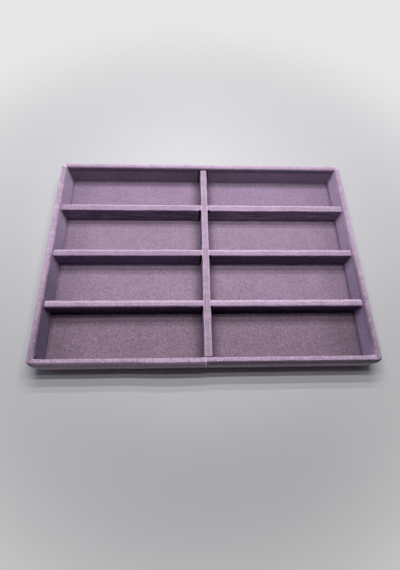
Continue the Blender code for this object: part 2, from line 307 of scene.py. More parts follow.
FRONT_FACING = (-0.2, -0.7)
UNDER_RIM_BAND = (0.0256, 0.0034)
UNDER_RIM_SHADE = 0.93
UNDER_BACK_RIM_SHADE = 0.56
SIDE_REAR_SPAN = (0.0005, 0.008)
SIDE_REAR_SHADE = 0.72
BACK_TOP_SPAN = (0.116, 0.1182)
BACK_RIM_LIFT = 1.36
BACK_FACE_SPAN = (0.115, 0.1156)
FRONT_FACE_SPAN = (-0.1155, -0.1165)
FRONT_RIM_FACING = (-0.5, -0.1)
FRONT_RIM_LIFT = 1.15
OUTER_FACE_SPAN = (-0.121, -0.1225)
OUTER_HEIGHTS = (0.002, 0.027)
OUTER_SHADES = (1.84, 0.86)
RIGHT_TOP_HEIGHTS = (0.017, 0.025)
RIGHT_TOP_SHADE = 0.7
RIGHT_START = (SEAM_X, SEAM_X + 0.002)
RIGHT_SHOULDER_BAND = (-0.6, 0.42)
RIGHT_SHOULDER_SHADE = 0.62
RIDGE_BAND = (SEAM_X - 0.0004, 0.0008)
RIDGE_LIFTS = (1.35, 2.6)
SEAM_HEIGHTS = (0, 0.03)
BESIDE_TOP = (0.0262, 0.0272)
BESIDE_SHADE = 0.25

# Painted light and shade on the dividers' sleeves
DIVIDER_TOP_SPAN = (0.0235, 0.0262)
LONG_EDGE_SPAN = (0.0046, 0.005)
LONG_LIFT_SPAN = (-0.11, 0.06)
LONG_LIFTS = (0.95, 1.08)
CROSS_LIFT_SPAN = (-0.06, -0.005)
CROSS_LIFTS = (1.16, 1.02)
TOP_HALF_SHADES = (0.96, 1.04)
DIVIDER_FACING = (-0.3, -0.8)
CROSSING_SHADE = 0.05
LOW_HEIGHTS = (0.008, 0.024)
LOW_SHADE_SPAN = (-0.06, 0.0)
LOW_SHADE = 0.03
LONG_SIDE_FACING = (0.09, 0.38)
LONG_SIDE_LIFT = 1.48
CROSSING_SPAN = (0.004, 0.005)
LAST_CROSSING_SPAN = (0.075, 0.08)
CROSSING_FACING = (0.2, 0.7)
CROSSING_LIFT = 1.35
REAR_DIVIDER_SPAN = (0.03, 0.05)
MIDDLE_BAND = (0.0, 0.03)
MIDDLE_HALF_SHADES = (1.12, 0.87)
FRONT_EDGE_BAND = (-0.48, 0.45)
FRONT_EDGE_SPAN = (-0.045, -0.015)
FRONT_EDGE_SHADES = (0.66, 1.0)
FRONT_EDGE_LIFT = 1.28

# Painted shade on the floor
FRONT_ROWS_SPAN = (-0.005, 0.005)
SIDE_FLOOR_SPAN = (0.125, 0.168)
SIDE_FLOOR_SHADE = 0.82
FRONT_SIDE_SHADE = 0.92
SIDE_CREVICE_SPAN = (0.1622, 0.167)
SIDE_CREVICE_SHADE = 0.76
LONG_FLOOR_SPAN = (0.0045, 0.02)
LONG_FLOOR_SHADE = 0.62
RIGHT_FLOOR_SPAN = (0.105, 0.15)
RIGHT_FRONT_SPAN = (-0.06, -0.09)
RIGHT_FRONT_SHADE = 0.84
SHADOW_EDGE_BAND = (0.009, 0.006)
SHADOW_EDGE_SHADE = 0.89
LAST_ROW_SPAN = (0.104, 0.111)
LAST_ROW_SHADE = 0.7
REAR_FLOOR_SPAN = (0.0, 0.011)
REAR_FLOOR_SHADE = 0.84

# Strip lamps overhead, from front to back: place along Y and power in watts
LAMP_HEIGHT = 0.505
LAMP_SIZE = (0.4, 0.012)
STRIPS = ((-0.028, 0.38), (0.043, 0.98), (0.172, 1.03), (0.266, 0.96))
LAMP_COLOUR = (1.0, 0.985, 1.0)

# Soft panels at the sides: place, size along Z and Y, and power in watts
PANELS = (
    ("left", (-0.46, 0.12, 0.24), (0.3, 0.6), 0.225),
    ("right", (0.46, 0.22, 0.24), (0.3, 0.46), 0.17),
)
PANEL_COLOUR = (0.7, 0.86, 1.15)

# The world and the floor, which turns into the plain background between two distances from the middle
AMBIENT_COLOUR = (0.86, 0.93, 1.0)
AMBIENT_STRENGTH = 0.0155
BACKGROUND_COLOUR = (0.8, 0.8, 0.81)
STAGE_COLOUR = (0.64, 0.635, 0.64)
STAGE_SIZE = 6.0
STAGE_DROP = 0.0002
STAGE_FADE = (0.19, 0.48)

Axes = namedtuple("Axes", "x y z")


def even_stops(low, high, step):
    """Places from low to high at about the step."""
    return np.linspace(low, high, max(int(round((high - low) / step)), 1) + 1)


def finer_stops(stops, places, reach):
    """The stops with more of them round the given places, each place among them."""
    fine = [even_stops(place - reach, place + reach, FINE_STEP) for place in places]
    groups = [stops, *(np.clip(group, stops[0], stops[-1]) for group in fine)]
    kept = []
    exact = set(np.round(np.array(places), 7))
    for stop in np.unique(np.round(np.concatenate(groups), 7)):
        if kept and stop - kept[-1] < FINE_STEP / 2:
            if stop in exact or stop == stops[-1]:
                kept[-1] = stop
            continue
        kept.append(stop)
    return np.array(kept)


def ease(value, low, high):
    """From 0 at low to 1 at high, level at both ends."""
    share = np.clip((value - low) / (high - low), 0, 1)
    return share * share * (3 - 2 * share)


def hump(value, middle, width):
    """1 at the middle, falling smoothly to 0 over about two widths."""
    return np.exp(-(((value - middle) / width) ** 2))


def rumple(grid, size, seed):
    """Smooth noise from -1 to 1 at each point of a grid. Size is that of its waves along X, Y and Z."""
    points = (grid.reshape(-1, 3) / np.array(size) + seed).tolist()
    return np.array([noise.noise(Vector(point)) for point in points]).reshape(grid.shape[:2])


def grid_normals(grid, wrap):
    """The unit normal at each point of a grid, from its neighbours along the rows and columns."""
    if wrap:
        along = np.roll(grid, -1, axis=1) - np.roll(grid, 1, axis=1)
    else:
        along = np.gradient(grid, axis=1)
    normals = np.cross(along, np.gradient(grid, axis=0))
    lengths = np.linalg.norm(normals, axis=2, keepdims=True)
    units = normals / np.maximum(lengths, POINT_MERGE**2)
    return np.where(lengths < POINT_MERGE**2, (0, 0, 1), units)


def add_object(name, data):
    """A new object in the scene."""
    added = bpy.data.objects.new(name, data)
    bpy.context.scene.collection.objects.link(added)
    return added


def thick_sheet(name, face, back, keep, wrap):
    """A closed mesh of cloth between a grid of points on its face and one on its back.

    Keep says which squares of the grid are cloth. Their open edges are closed from face to back. Where the
    grid wraps round, its last row is a line along which the two sides meet, and has no open edges.
    """
    rows, columns = face.shape[:2]

    def number(row, column, skin):
        return (skin * rows + row) * columns + column

    faces = []
    open_edges = set()
    for row, column in zip(*np.nonzero(keep)):
        after = (column + 1) % columns if wrap else column + 1
        ring = [(row, column), (row, after), (row + 1, after), (row + 1, column)]
        faces.append([number(r, c, 0) for r, c in ring])
        faces.append([number(r, c, 1) for r, c in reversed(ring)])
        for start, end in zip(ring, ring[1:] + ring[:1]):
            if (end, start) in open_edges:
                open_edges.remove((end, start))
            else:
                open_edges.add((start, end))
    for start, end in sorted(open_edges):
        if wrap and start[0] == end[0] == rows - 1:
            continue
        faces.append([number(*end, 0), number(*start, 0), number(*start, 1), number(*end, 1)])
    points = np.concatenate([face.reshape(-1, 3), back.reshape(-1, 3)])
    mesh = bpy.data.meshes.new(name)
    mesh.from_pydata(points.tolist(), [], faces)
    solid = bmesh.new()
    solid.from_mesh(mesh)
    bmesh.ops.remove_doubles(solid, verts=solid.verts, dist=POINT_MERGE)
    bmesh.ops.dissolve_degenerate(solid, edges=solid.edges, dist=POINT_MERGE)
    loose = [vert for vert in solid.verts if not vert.link_faces]
    bmesh.ops.delete(solid, geom=loose, context="VERTS")
    bmesh.ops.recalc_face_normals(solid, faces=solid.faces)
    solid.to_mesh(mesh)
    solid.free()
    mesh.shade_smooth()
    return add_object(name, mesh)


def arc(centre, radius, start_deg, end_deg, steps):
    """Points of an arc in a section, from one angle to the other."""
    angles = [math.radians(start_deg + (end_deg - start_deg) * step / steps) for step in range(steps + 1)]
    return [(centre[0] + radius * math.cos(a), centre[1] + radius * math.sin(a)) for a in angles]


def run(start, end, step):
    """Points of a straight stretch of a section, without its last point."""
    length = math.dist(start, end)
    count = max(int(round(length / step)), 1)
    return [tuple(np.array(start) + (np.array(end) - start) * k / count) for k in range(count)]


def cover_section(height):
    """The frame cover's section as (inset from the outside, height), from under the base to the floor."""
    section = run((HEM_REACH, HEM_BOTTOM), (HEM_EDGE, HEM_BOTTOM), HEM_EDGE)
    section += arc((HEM_EDGE, HEM_BOTTOM + HEM_EDGE), HEM_EDGE, 270, 180, EDGE_STEPS)[:-1]
    section += run((0, HEM_BOTTOM + HEM_EDGE), (0, height - RIM_OUTER_EDGE), COVER_STEP)
    section += arc((RIM_OUTER_EDGE, height - RIM_OUTER_EDGE), RIM_OUTER_EDGE, 180, 90, EDGE_STEPS + 2)[:-1]
    inner_middle = WALL_COVERED - RIM_INNER_EDGE
    foot = (WALL_COVERED, BASE_TOP + HEM_BOTTOM)
    section += run((RIM_OUTER_EDGE, height), (inner_middle, height), COVER_STEP / 2)
    section += arc((inner_middle, height - RIM_INNER_EDGE), RIM_INNER_EDGE, 90, 0, EDGE_STEPS)[:-1]
    section += run((WALL_COVERED, height - RIM_INNER_EDGE), foot, COVER_STEP)
    return [*section, foot]


def cover_ring(half_length, half_depth, inset, shares):
    """Points round the frame at an inset, anticlockwise from the seam's right side to its left side.

    Shares has the places along the front from the seam, along the sides and along the back.
    """
    corner = max(TRAY_CORNER_RADIUS - inset, INNER_CORNER_RADIUS)
    reach_x = half_length - inset - corner
    reach_y = half_depth - inset - corner
    right_share, side_share, back_share, left_share = shares
    seam_start = SEAM_X - LAP_OVER
    ring = [(seam_start + s * (reach_x - seam_start), -reach_y - corner) for s in right_share]

    def turn(centre, start_deg):
        ring.extend(arc(centre, corner, start_deg, start_deg + 90, CORNER_STEPS)[1:-1])

    turn((reach_x, -reach_y), 270)
    ring.extend((reach_x + corner, s * reach_y) for s in side_share)
    turn((reach_x, reach_y), 0)
    ring.extend((-s * reach_x, reach_y + corner) for s in back_share)
    turn((-reach_x, reach_y), 90)
    ring.extend((-reach_x - corner, -s * reach_y) for s in side_share)
    turn((-reach_x, -reach_y), 180)
    ring.extend((-reach_x + s * (SEAM_X + reach_x), -reach_y - corner) for s in left_share)
    return ring


def frame_cover():
    """The velvet strip over the frame: up the outside, over the rim and down to the floor inside."""
    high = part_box("frame_velvet")[1]
    half_length, half_depth = high.x, high.y
    start, end = SEAM_X - LAP_OVER, half_length
    right = finer_stops(even_stops(start, end, COVER_STEP), (SEAM_X, SEAM_X + LAP_RAMP), LAP_OVER)
    left = finer_stops(even_stops(-end, SEAM_X, COVER_STEP), (SEAM_X,), LAP_OVER + LAP_RAMP)
    sides = even_stops(-1, 1, COVER_STEP / half_depth)
    back = even_stops(-1, 1, COVER_STEP / half_length)
    shares = ((right - start) / (end - start), sides, back, (left + end) / (SEAM_X + end))
    section = cover_section(high.z)
    grid = np.array(
        [[(x, y, z) for x, y in cover_ring(half_length, half_depth, inset, shares)] for inset, z in section]
    )
    normals = grid_normals(grid, False)
    x, y, z = np.moveaxis(grid, 2, 0)
    inset = np.broadcast_to(np.array([[place] for place, _ in section]), x.shape)
    first_half = np.broadcast_to(np.arange(x.shape[1]) < x.shape[1] / 2, x.shape)
    front = y < -half_depth + WALL_COVERED + COVER_STEP
    above_hem = ease(z, HEM_BOTTOM, 2 * HEM_EDGE + HEM_REACH)

    # Loose cloth: a soft undulation, finer on the rim
    swell_seed, wave_seed, rim_seed = COVER_SEEDS
    face_out = SWELL_HEIGHT * rumple(grid, SWELL_SIZE, swell_seed)
    face_out += COVER_WAVE_HEIGHT * rumple(grid, UNDULATION_SIZE, wave_seed)
    rim = ease(z, high.z - 3 * RIM_OUTER_EDGE, high.z)
    face_out += UNDULATION_HEIGHT * rim * rumple(grid, RIM_WAVE_SIZE, rim_seed)

    # Both shoulders are drawn in, except where the cloth is loose on the outside, left of the seam
    upper = z > high.z - 2 * RIM_OUTER_EDGE
    face_out -= SHOULDER_DRAW * hump(inset, SHOULDER_DRAW, SHOULDER_WIDTH) * upper
    at_front = ease(-y, half_depth - WALL_COVERED - RIM_INNER_EDGE, half_depth - WALL_COVERED)
    at_left = ~first_half * ease(x, WALL_COVERED - half_length, 3 * WALL_COVERED - half_length)
    low_drawn = at_front * ease(z, *DRAW_HEIGHTS)
    inner_top = high.z - RIM_INNER_EDGE
    top_drawn = (1 - at_front) * ease(z, inner_top - 2 * FINE_STEP, inner_top)
    drawn = low_drawn * (1 + LEFT_DRAW_SHARE * at_left) + top_drawn
    face_out -= INNER_DRAW * hump(inset, WALL_COVERED, RIM_INNER_EDGE) * drawn
    left_front = front & ~first_half
    shoulder = hump(inset, SHOULDER_WIDTH, LOOSE_WIDTH) * (z > high.z - LOOSE_DROP)
    along = ease(x, SEAM_X - LOOSE_LENGTH, SEAM_X - LOOSE_LENGTH * LOOSE_FULL_SHARE)
    face_out += np.where(left_front, LOOSE_SHOULDER * shoulder * along, 0)

    # A groove along each mitre, a small fold inside beside each corner, and a filled corner at front right
    from_corner = (half_length - np.abs(x)) - (half_depth - np.abs(y))
    inward = ease(inset, RIM_OUTER_EDGE * MITRE_START_SHARE, WALL_COVERED - RIM_INNER_EDGE)
    face_out -= MITRE_DEPTH * inward * hump(from_corner, 0, MITRE_WIDTH)
    to_side = half_length - WALL_COVERED - np.abs(x)
    to_end = half_depth - WALL_COVERED - np.abs(y)
    inside = ease(inset, WALL_COVERED - RIM_INNER_EDGE / 2, WALL_COVERED)
    place = np.maximum(to_side, to_end)
    fold = hump(place, *FOLD_ACROSS) * hump(z, *FOLD_UPRIGHT)
    face_out += FOLD_HEIGHT * inside * fold
    near_corner = 1 - ease(place, GUSSET_WIDTH / 3, GUSSET_WIDTH)
    filled = near_corner * ease(z, *GUSSET_HEIGHTS)
    face_out += GUSSET_DEPTH * inside * filled * at_front * (x > 0)
    face_out *= above_hem

    # The lap: the right end sinks under the left end, whose edge stands up in a ridge
    under = np.where(front & first_half, 1 - ease(x, SEAM_X + FINE_STEP, SEAM_X + LAP_RAMP), 0)
    over = np.where(left_front, ease(x, SEAM_X - LAP_OVER - LAP_RAMP, SEAM_X - LAP_OVER), 0)
    ridge = np.where(left_front, ease(x, SEAM_X - 2 * RIDGE_WIDTH, SEAM_X - RIDGE_WIDTH), 0)
    face_out = np.where(under > 0, face_out * (1 - under) - LAP_SINK * under, face_out)
    face_out += RIDGE_HEIGHT * ridge * above_hem
    thickness = np.where(z < 2 * HEM_EDGE, HEM_THICKNESS, VELVET_THICKNESS)
    back_out = over * (thickness - LAP_SINK + LAP_GAP) - thickness
    tab = ridge * (1 - ease(z, HEM_EDGE, TAB_HEIGHT)) * (inset <= HEM_EDGE)

    # The seam leans a little to the right on its way down
    outside = ease(inset, RIM_OUTER_EDGE, 0)
    falling = np.where(z > 2 * HEM_EDGE, (1 - z / high.z) * outside, 1)
    lean = SEAM_LEAN * falling * hump(x, SEAM_X, SEAM_SPREAD) * (y < 0)
    face = grid + normals * face_out[:, :, None]
    back_grid = grid + normals * back_out[:, :, None]
    face[:, :, 0] += lean
    face[:, :, 1] -= TAB_REACH * tab
    back_grid[:, :, 0] += lean
    piece = thick_sheet("frame_cover", face, back_grid, np.ones(x.shape, bool)[1:, 1:], False)
    finish_piece(piece, "tray", "frame_velvet", ("frame_velvet",))


def flat_sheet(name, low, high, corner, amount, seed, presses=()):
    """A sheet of cloth lying flat between two corners, with soft edges and a slight undulation.

    It has waves of the given amount, and is pressed down along lines at the given places along Y.
    """
    halves = np.array((high.x, high.y))
    edge_insets = np.array([SHEET_EDGE * (1 - math.sin(math.radians(angle))) for angle in SHEET_EDGE_DEG])
    stops = []
    for half in halves:
        even = even_stops(SHEET_EDGE - half, half - SHEET_EDGE, SHEET_STEP)
        stops.append(np.unique(np.concatenate([edge_insets - half, even, half - edge_insets])))
    grid = np.dstack(np.meshgrid(*stops))
    over = np.maximum(np.abs(grid) - (halves - corner), 0)
    furthest = over.max(axis=2, keepdims=True)
    straight = np.hypot(over[:, :, :1], over[:, :, 1:])
    shrink = np.maximum(furthest, POINT_MERGE) / np.maximum(straight, POINT_MERGE)
    in_corner = (over > 0).all(axis=2, keepdims=True)
    place = np.where(in_corner, np.sign(grid) * (halves - corner + over * shrink), grid)
    to_edge = corner - furthest[:, :, 0]
    down = SHEET_EDGE - np.sqrt(np.maximum(SHEET_EDGE**2 - np.maximum(SHEET_EDGE - to_edge, 0) ** 2, 0))
    flat = np.dstack([place, np.full(to_edge.shape, high.z)])
    waves = rumple(flat, SWELL_SIZE, seed) + FINE_WAVE_SHARE * rumple(flat, UNDULATION_SIZE, seed + 7)
    for line in presses:
        waves -= PRESS_SHARE * hump(place[:, :, 1], line, PRESS_WIDTH)
    lift = amount * np.minimum(waves, WAVE_LIMIT) * ease(to_edge, 0, 3 * SHEET_EDGE)
    face = np.dstack([place, high.z - down + lift])
    back = np.dstack([place, np.full(to_edge.shape, low.z)])
    return thick_sheet(name, face, back, np.ones(to_edge.shape, bool)[1:, 1:], False)


def crossing_places():
    """The middle of each cross divider along Y, from front to back."""
    return [sum(corner.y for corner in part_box(f"cross_divider_{n}_velvet")) / 2 for n in CROSS_SLEEVES]


def floor_sheet():
    """The velvet laid over the base board, pressed down a little under each cross divider."""
    low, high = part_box("floor_velvet")
    high.x += FLOOR_REACH
    high.y += FLOOR_REACH
    piece = flat_sheet("floor_sheet", low, high, SHEET_CORNER, FLOOR_WAVES, 5.3, crossing_places())
    finish_piece(piece, "tray", "floor_velvet", ("floor_velvet",))


def underside_cloth():
    """The thin felt sheet glued under the base board."""
    low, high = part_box("underside_sheet")
    piece = flat_sheet("underside_cloth", -high, -low, UNDERSIDE_CORNER, UNDERSIDE_WAVES, 31.0)
    piece.data.transform(((1, 0, 0, 0), (0, -1, 0, 0), (0, 0, -1, 0), (0, 0, 0, 1)))
    finish_piece(piece, "tray", "underside_felt", ("underside_sheet",))


def sleeve_ring(half_length, half_width, inset, stops):
    """Points round a divider at an inset, anticlockwise: front side, right end, rear side and left end."""
    side = half_width - inset
    end = half_length - inset * END_ROUND_SHARE
    corner = min(max(DIVIDER_CORNER - inset, 0), side)
    straight = stops[-1]
    path = [(straight, -side), *arc((end - corner, -side + corner), corner, 270, 360, EDGE_STEPS)]
    path += [*arc((end - corner, side - corner), corner, 0, 90, EDGE_STEPS), (straight, side)]
    path = np.array(path)
    walked = np.concatenate([[0], np.cumsum(np.linalg.norm(np.diff(path, axis=0), axis=1))])
    marks = np.linspace(0, walked[-1], END_POINTS + 2)[1:-1]
    right = np.column_stack([np.interp(marks, walked, path[:, 0]), np.interp(marks, walked, path[:, 1])])
    front = np.column_stack([stops, np.full(len(stops), -side)])
    rear = np.column_stack([stops[::-1], np.full(len(stops), side)])
    return np.concatenate([front, right, rear, -right])


def sleeve(
    name, low, high, slots, from_top, seed, wrinkles, shift, roundings, fullness=0, front_reach=0, pinches=()
):
    """A divider's velvet sleeve, open underneath, along X in its own place, with a slot at each crossing.

    Wrinkles is how deep its creases are, and shift is how far its cloth lies to one side on the core.
    Roundings are the sides whose top edge is rounder, each with its radius. Fullness is how much thicker
    it is at the low end of its high side, and front_reach how much longer it is at that end, high up. At
    each pinch its sides are drawn in.
    """
    length, width = high.x - low.x, high.y - low.y
    half_length, half_width = length / 2, width / 2
    lap = (low.z + high.z) / 2
    half_slot = half_width + SLOT_EASE + (-PINCH_DEPTH if from_top else LAP_CLEARANCE)
    edges = [place + side * half_slot for place in slots for side in (-1, 1)]
    straight = half_length - half_width - FINE_STEP
    stops = finer_stops(even_stops(-straight, straight, DIVIDER_STEP), edges, 2 * TUCK_WIDTH)
    levels = [(0, z) for z in even_stops(low.z, lap, DIVIDER_STEP)[:-1]]
    levels += [(0, z) for z in even_stops(lap, high.z - DIVIDER_EDGE, DIVIDER_STEP)[:-1]]
    levels += arc((DIVIDER_EDGE, high.z - DIVIDER_EDGE), DIVIDER_EDGE, 180, 90, EDGE_STEPS)
    levels += [(inset, high.z) for inset in even_stops(DIVIDER_EDGE, half_width, DIVIDER_STEP / 2)[1:]]
    grid = np.array(
        [[(x, y, z) for x, y in sleeve_ring(half_length, half_width, inset, stops)] for inset, z in levels]
    )
    grid[:, :, 0] += (low.x + high.x) / 2
    grid[:, :, 1] += (low.y + high.y) / 2
    normals = grid_normals(grid, True)
    x, y, z = np.moveaxis(grid, 2, 0)
    away = np.minimum.reduce([np.abs(x - place) for place in slots])

    # Loose cloth: a soft undulation, finer on the top, and creases on the front side
    face_out = SWELL_HEIGHT * rumple(grid, SWELL_SIZE, seed)
    face_out += UNDULATION_HEIGHT * rumple(grid, UNDULATION_SIZE, seed + 5)
    top = ease(z, high.z - 2 * DIVIDER_EDGE, high.z - DIVIDER_EDGE / 2)
    face_out += UNDULATION_HEIGHT * top * rumple(grid, TOP_WAVE_SIZE, seed + 9)
    creases = np.abs(rumple(grid, WRINKLE_SIZE, seed + 13))
    turned = normals[:, :, 1]
    depth = wrinkles * WRINKLE_HEIGHT * (1 - WRINKLE_SHARPNESS * creases)
    face_out -= np.where(turned < FRONT_NORMAL, depth * (1 - top), 0)

    # Tucked in at slots from above, fuller at one end, drawn in at the pinches, and rounder on some edges
    if from_top:
        tuck_end = half_slot + TUCK_WIDTH
        tucked = 1 - ease(away, tuck_end - TUCK_SLOPE, tuck_end + TUCK_SLOPE)
        tucked *= 1 - ease(z, high.z - DIVIDER_EDGE - TUCK_SLOPE, high.z - DIVIDER_EDGE / 2)
        face_out = face_out * (1 - tucked) - TUCK_DEPTH * tucked
    face_out += fullness * ease(turned, *REAR_NORMALS) * (1 - ease(x, -half_length, half_length))
    pinched = np.zeros(x.shape)
    for place in pinches:
        near = 1 - ease(np.abs(x - place), PINCH_LENGTH, PINCH_LENGTH + PINCH_FADE)
        pinched += near * ease(z, lap - FINE_STEP, lap)
    across = np.abs(turned)
    shoulder = 2 * across * np.maximum(normals[:, :, 2], 0)
    face_out = face_out * (1 - pinched) + pinched * (SHOULDER_FILL * shoulder**2 - PINCH_DEPTH * across)
    for side, radius in roundings:
        beyond_side = np.maximum(side * y - side * (low.y + high.y) / 2 - half_width + radius, 0)
        beyond_top = np.maximum(z - high.z + radius, 0)
        face_out -= (1 - pinched) * np.maximum(np.hypot(beyond_side, beyond_top) - radius, 0)
    face = grid + normals * face_out[:, :, None]
    face[:, :, 1] += shift
    back = grid - normals * VELVET_THICKNESS
    back[:, :, 1] += math.copysign(BACK_SHIFT, shift)
    to_end = ease(np.abs(x), half_length - 3 * DIVIDER_CORNER, half_length - DIVIDER_CORNER)
    reach = END_REACH + front_reach * (x < 0) * ease(z, *DRAW_HEIGHTS)
    face[:, :, 0] += reach * np.sign(x) * to_end

    middle_x = (x + np.roll(x, -1, axis=1)) / 2
    middle_z = (z[:-1] + z[1:]) / 2
    in_slot = np.minimum.reduce([np.abs(middle_x[:-1] - place) for place in slots]) < half_slot
    beyond = middle_z > lap if from_top else middle_z < lap
    return thick_sheet(name, face, back, ~(in_slot & beyond), True)


def cross_sleeves():
    """The three cross dividers' sleeves, slotted from above where the long divider laps over them."""
    for number, (seed, wrinkles, shift, radius) in CROSS_SLEEVES.items():
        body = f"cross_divider_{number}"
        low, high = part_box(f"{body}_velvet")
        rounding = (1, radius)
        piece = sleeve(f"{body}_sleeve", low, high, (LONG_SHIFT,), True, seed, wrinkles, shift, (rounding,))
        finish_piece(piece, body, "divider_velvet", (f"{body}_velvet",))


def long_sleeve():
    """The long divider's sleeve, slotted from below and drawn in where it laps over the cross dividers."""
    low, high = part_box("long_divider_velvet")
    places = crossing_places()
    piece = sleeve(
        "long_divider_sleeve", low.yxz, high.yxz, places, False, LONG_SEED, LONG_WRINKLES, LONG_SHIFT,
        LONG_EDGE_RADII, LONG_FULLNESS, FRONT_END_REACH, places
    )
    piece.data.transform(((0, 1, 0, 0), (1, 0, 0, 0), (0, 0, 1, 0), (0, 0, 0, 1)))
    piece.data.flip_normals()
    finish_piece(piece, "long_divider", "divider_velvet", ("long_divider_velvet",))


def finish_piece(piece, body, slot, nodes):
    """Gives a piece its finish and its body, and hides the CAD nodes that it stands for."""
    piece.data.materials.append(MATERIALS[slot])
    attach(piece, body)
    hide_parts(*nodes)


class Field:
    """What nodes work out at each point of a surface. Fields add, subtract and multiply like numbers."""

    def __init__(self, socket):
        self.socket = socket
        self.tree = socket.id_data

    def __add__(self, other):
        return math_value("ADD", self, other)

    def __sub__(self, other):
        return math_value("SUBTRACT", self, other)

    def __rsub__(self, other):
        return math_value("SUBTRACT", other, self)

    def __mul__(self, other):
        return math_value("MULTIPLY", self, other)

    __rmul__ = __mul__

    def __abs__(self):
        return math_value("ABSOLUTE", self)


def feed(value, socket):
    """Gives a socket a field, a number or a colour."""
    if isinstance(value, Field):
        value.tree.links.new(value.socket, socket)
    elif isinstance(value, tuple):
        socket.default_value = (*value, 1)[: len(socket.default_value)]
    else:
        socket.default_value = value


def new_field(tree, kind, inputs, output=0, **settings):
    """What a new node of the kind works out from its inputs and settings."""
    node = tree.nodes.new(f"ShaderNode{kind}")
    for label, value in settings.items():
        setattr(node, label, value)
    for label, value in inputs.items():
        feed(value, node.inputs[label])
    return Field(node.outputs[output])


def math_value(operation, *values):
    """The result of a math node. At least one value is a field, and the others may be numbers."""
    tree = next(value.tree for value in values if isinstance(value, Field))
    return new_field(tree, "Math", dict(enumerate(values)), operation=operation)


def spread(field, source, target, smooth=True):
    """A field carried from one range to another, and held at both ends."""
    ends = zip(("From Min", "From Max", "To Min", "To Max"), (*source, *target))
    kind = "SMOOTHSTEP" if smooth else "LINEAR"
    return new_field(field.tree, "MapRange", {"Value": field, **dict(ends)}, interpolation_type=kind)


def rise(field, span, smooth=True):
    """0 at the span's start and 1 at its end."""
    return spread(field, span, (0, 1), smooth)


def fall(field, span, smooth=True):
    """1 at the span's start and 0 at its end."""
    return spread(field, span, (1, 0), smooth)


def band(field, middle, reach):
    """1 near the middle, falling to 0 at the reach on each side."""
    return fall(abs(field - middle), (reach / 2, reach))


def blended(share, low, high):
    """A blend of two values, low where the share is 0."""
    return share * (high - low) + low


def where(mask, factor):
    """The factor where the mask is 1, and 1 where the mask is 0."""
    return blended(mask, 1.0, factor)


def split(field):
    """The X, Y and Z of a vector."""
    x = new_field(field.tree, "SeparateXYZ", {"Vector": field})
    return Axes(*(Field(socket) for socket in x.socket.node.outputs))


def noise_field(place, size, detail, seed, stretch=EVEN):
    """Noise from 0 to 1, whose blotches are about as large as the size in metres."""
    scale = tuple(1 / (size * along) for along in stretch)
    moved = new_field(place.tree, "Mapping", {"Vector": place, "Location": (seed,) * 3, "Scale": scale})
    return new_field(place.tree, "TexNoise", {"Vector": moved, "Scale": 1.0, "Detail": detail})


def speckled(field, depth, smooth=True):
    """A factor that noise makes darker and lighter by the depth."""
    return spread(field, NOISE_SPAN, (1 - depth, 1 + depth), smooth)


def scaled(colour, factor):
    """A colour made darker or lighter by a factor."""
    return new_field(factor.tree, "VectorMath", {0: colour, "Scale": factor}, operation="SCALE")


def tint(colour, other):
    """Two fields of colour multiplied."""
    return new_field(colour.tree, "VectorMath", {0: colour, 1: other}, operation="MULTIPLY")


def mixed(share, low, high):
    """A blend of two colours, low where the share is 0."""
    return new_field(share.tree, "Mix", {"Factor": share, 6: low, 7: high}, 2, data_type="RGBA")


def colour_ramp(field, stops):
    """A colour read from a ramp, whose stops are places from 0 to 1 and their colours."""
    node = field.tree.nodes.new("ShaderNodeValToRGB")
    elements = node.color_ramp.elements
    while len(elements) < len(stops):
        elements.new(1.0)
    for element, (place, colour) in zip(elements, stops):
        element.position = place
        element.color = (*colour, 1)
    feed(field, node.inputs["Fac"])
    return Field(node.outputs["Color"])


def add_bump(shader, height, distance, strength):
    """Relief from a height, in metres."""
    inputs = {"Height": height, "Distance": distance, "Strength": strength}
    feed(new_field(height.tree, "Bump", inputs), shader.inputs["Normal"])


def new_material(name, settings):
    """A material whose Principled BSDF is set as given, and its object coordinates."""
    material = bpy.data.materials.new(name)
    material.use_nodes = True
    shader = material.node_tree.nodes["Principled BSDF"]
    for label, value in settings.items():
        feed(value, shader.inputs[label])
    coordinates = material.node_tree.nodes.new("ShaderNodeTexCoord")
    return material, shader, Field(coordinates.outputs["Object"])


